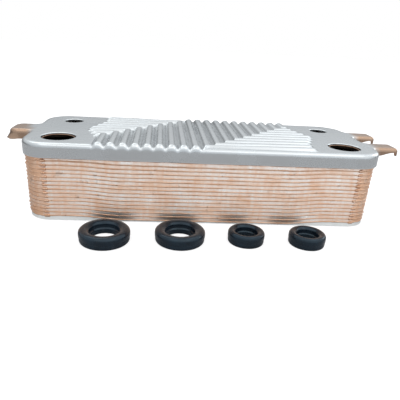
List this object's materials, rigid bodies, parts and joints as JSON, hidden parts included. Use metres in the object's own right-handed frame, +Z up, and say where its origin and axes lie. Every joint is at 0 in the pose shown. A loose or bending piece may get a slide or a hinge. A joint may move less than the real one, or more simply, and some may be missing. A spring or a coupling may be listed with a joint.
{
  "type": "brazed plate heat exchanger",
  "caption": "Brazed plate heat exchanger for a combination boiler: ribbed cover with paired large and small ports, nested copper-brazed plates, end tabs, and loose rubber port seals.",
  "frame": {"origin": "middle of the four ports, on the plane that the end plate's lip stands on", "axes": "+X along the plates' length towards the two-pronged end, +Y across them towards the small ports, +Z up out of the ports"},
  "size_m": [0.2166, 0.107, 0.0427],
  "materials": {
    "cover_steel": "satin pressed stainless steel, copper-tinted towards the tabs' tips",
    "plate_steel": "thin stainless steel washed with copper near the joints",
    "end_steel": "pale matt stainless steel",
    "braze_copper": "copper braze, satin, slightly uneven",
    "seal_rubber": "black moulded rubber with a faint blue sheen"
  },
  "bodies": {
    "exchanger": {"cover_plate": "cover_steel", "channel_plate_01": "plate_steel", "channel_plate_02": "plate_steel", "channel_plate_03": "plate_steel", "channel_plate_04": "plate_steel", "channel_plate_05": "plate_steel", "channel_plate_06": "plate_steel", "channel_plate_07": "plate_steel", "channel_plate_08": "plate_steel", "channel_plate_09": "plate_steel", "channel_plate_10": "plate_steel", "channel_plate_11": "plate_steel", "channel_plate_12": "plate_steel", "channel_plate_13": "plate_steel", "channel_plate_14": "plate_steel", "channel_plate_15": "plate_steel", "end_plate": "end_steel", "braze_bead_01": "braze_copper", "braze_bead_02": "braze_copper", "braze_bead_03": "braze_copper", "braze_bead_04": "braze_copper", "braze_bead_05": "braze_copper", "braze_bead_06": "braze_copper", "braze_bead_07": "braze_copper", "braze_bead_08": "braze_copper", "braze_bead_09": "braze_copper", "braze_bead_10": "braze_copper", "braze_bead_11": "braze_copper", "braze_bead_12": "braze_copper", "braze_bead_13": "braze_copper", "braze_bead_14": "braze_copper", "braze_bead_15": "braze_copper", "braze_bead_16": "braze_copper"},
    "large_port_seal_left_body": {"large_port_seal_left": "seal_rubber"},
    "large_port_seal_right_body": {"large_port_seal_right": "seal_rubber"},
    "small_port_seal_left_body": {"small_port_seal_left": "seal_rubber"},
    "small_port_seal_right_body": {"small_port_seal_right": "seal_rubber"}
  },
  "joints": [
    {"name": "large_port_seal_left_lift", "type": "slide", "parent": "exchanger", "child": "large_port_seal_left_body", "axis": [0, 0, 1], "range_m": [0, 0.06]},
    {"name": "large_port_seal_right_lift", "type": "slide", "parent": "exchanger", "child": "large_port_seal_right_body", "axis": [0, 0, 1], "range_m": [0, 0.06]},
    {"name": "small_port_seal_left_lift", "type": "slide", "parent": "exchanger", "child": "small_port_seal_left_body", "axis": [0, 0, 1], "range_m": [0, 0.06]},
    {"name": "small_port_seal_right_lift", "type": "slide", "parent": "exchanger", "child": "small_port_seal_right_body", "axis": [0, 0, 1], "range_m": [0, 0.06]}
  ]
}
